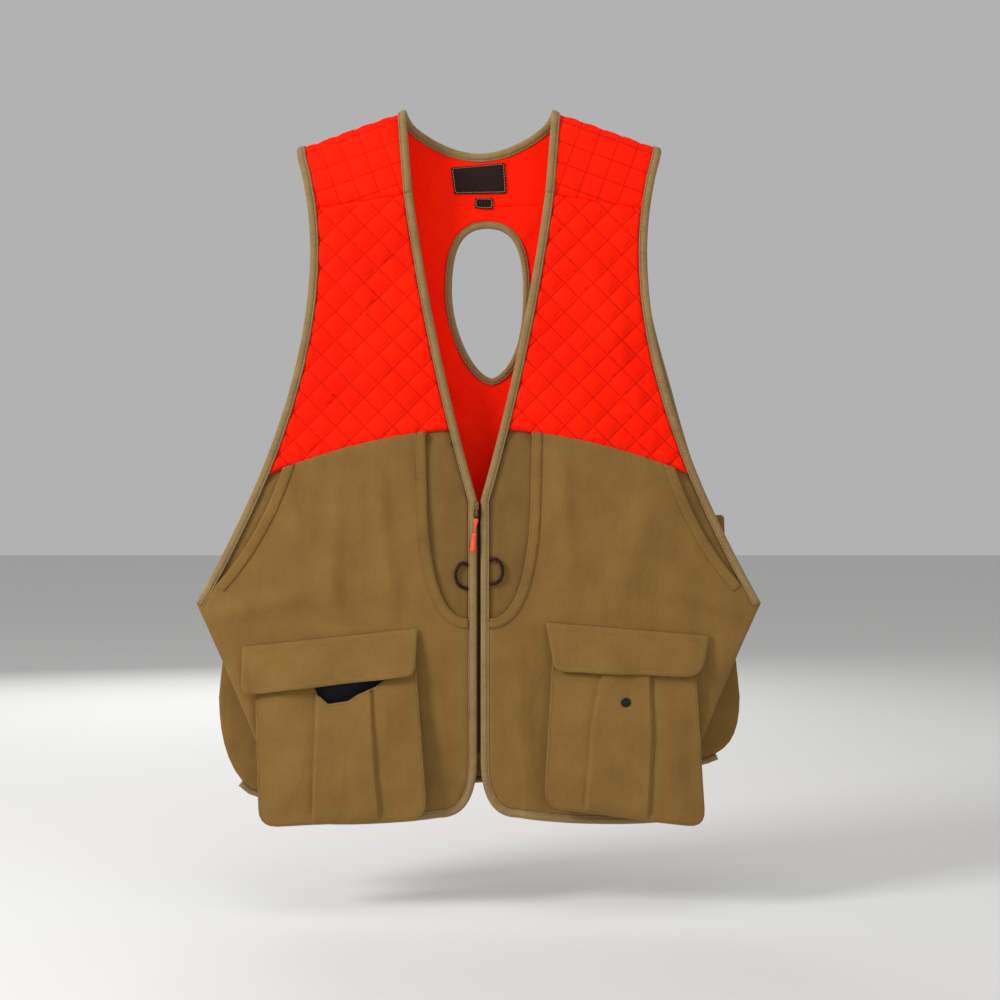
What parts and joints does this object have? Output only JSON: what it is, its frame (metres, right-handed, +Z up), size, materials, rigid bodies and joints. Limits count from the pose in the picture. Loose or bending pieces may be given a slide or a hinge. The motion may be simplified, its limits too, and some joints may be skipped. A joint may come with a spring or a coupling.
{
  "type": "hunting vest",
  "caption": "Blaze orange quilted upland vest over canvas, with a separating front zip, two flapped bellows pockets, a vented back and a game bag behind.",
  "frame": {"origin": "midway between the two neck points of the shoulders, at the height where a hanger bears; X=0 is the middle of the zip", "axes": "+Z up, -Y out of the front of the vest, +X to the wearer's left"},
  "size_m": [0.672, 0.1121, 0.8535],
  "materials": {
    "orange_quilt": "fluorescent quilted polyester, soft sheen",
    "canvas": "brushed cotton canvas, matte",
    "lining": "plain woven canvas, matte",
    "binding": "folded woven tape, matte",
    "label": "dark woven label",
    "zip_tape": "woven zip tape",
    "zip_moulding": "moulded zip teeth",
    "cord": "speckled braided cord",
    "orange_rubber": "soft moulded grip",
    "black_metal": "black enamelled metal"
  },
  "bodies": {
    "back": {"back_yoke": "orange_quilt", "back_quilt_panel": "orange_quilt", "front_yoke_right": "orange_quilt", "chest_quilt_side_right": "orange_quilt", "front_yoke_left": "orange_quilt", "chest_quilt_side_left": "orange_quilt", "back_lower_panel": "canvas", "game_bag_back": "canvas", "game_bag_gusset": "canvas", "bag_corner_tab": "canvas", "shell_side_right": "canvas", "slant_trim_right": "canvas", "side_gusset_right": "canvas", "shell_side_left": "canvas", "slant_trim_left": "canvas", "side_gusset_left": "canvas", "lining_side_right": "lining", "lining_side_left": "lining", "vent_binding": "binding", "game_bag_hem_binding": "binding", "neck_binding": "binding", "armhole_binding_right": "binding", "armhole_binding_left": "binding", "neck_label": "label", "size_tag": "label"},
    "front_right": {"chest_quilt_front_right": "orange_quilt", "lining_front_right": "lining", "shell_front_right": "canvas", "scoop_trim_right": "canvas", "front_binding_right": "binding", "pocket_body_right": "canvas", "pocket_bellows_right": "canvas", "snap_stud_right": "black_metal", "zip_tape_right": "zip_tape", "zip_teeth_right": "zip_moulding", "cord_loop_right": "cord", "zip_box": "zip_moulding"},
    "front_left": {"chest_quilt_front_left": "orange_quilt", "lining_front_left": "lining", "shell_front_left": "canvas", "scoop_trim_left": "canvas", "front_binding_left": "binding", "pocket_body_left": "canvas", "pocket_bellows_left": "canvas", "snap_stud_left": "black_metal", "zip_tape_left": "zip_tape", "zip_teeth_left": "zip_moulding", "cord_loop_left": "cord", "zip_pin": "zip_moulding"},
    "zip_slider": {"zip_slider": "black_metal"},
    "zip_pull": {"pull_ring": "black_metal", "pull_link": "orange_rubber", "pull_grip": "orange_rubber"},
    "flap_right": {"pocket_flap_right": "canvas", "snap_socket_right": "black_metal"},
    "flap_left": {"pocket_flap_left": "canvas", "snap_socket_left": "black_metal"}
  },
  "joints": [
    {"name": "open_right", "type": "hinge", "parent": "back", "child": "front_right", "pos_m": [-0.08, -0.0285, -0.096], "axis": [-0.3593, 0, -0.9332], "range_deg": [0, 80]},
    {"name": "open_left", "type": "hinge", "parent": "back", "child": "front_left", "pos_m": [0.08, -0.0285, -0.096], "axis": [-0.3593, 0, 0.9332], "range_deg": [0, 80]},
    {"name": "unzip", "type": "slide", "parent": "front_right", "child": "zip_slider", "axis": [0, 0, -1], "range_m": [0, 0.275]},
    {"name": "pull_swing", "type": "hinge", "parent": "zip_slider", "child": "zip_pull", "pos_m": [0, -0.0319, -0.4734], "axis": [-1, 0, 0], "range_deg": [0, 150]},
    {"name": "lift_flap_right", "type": "hinge", "parent": "front_right", "child": "flap_right", "pos_m": [-0.072, -0.02985, -0.613], "axis": [-0.9945, 0, -0.1047], "range_deg": [0, 100]},
    {"name": "lift_flap_left", "type": "hinge", "parent": "front_left", "child": "flap_left", "pos_m": [0.079, -0.02985, -0.606], "axis": [-0.9967, 0, 0.0818], "range_deg": [0, 100]}
  ]
}
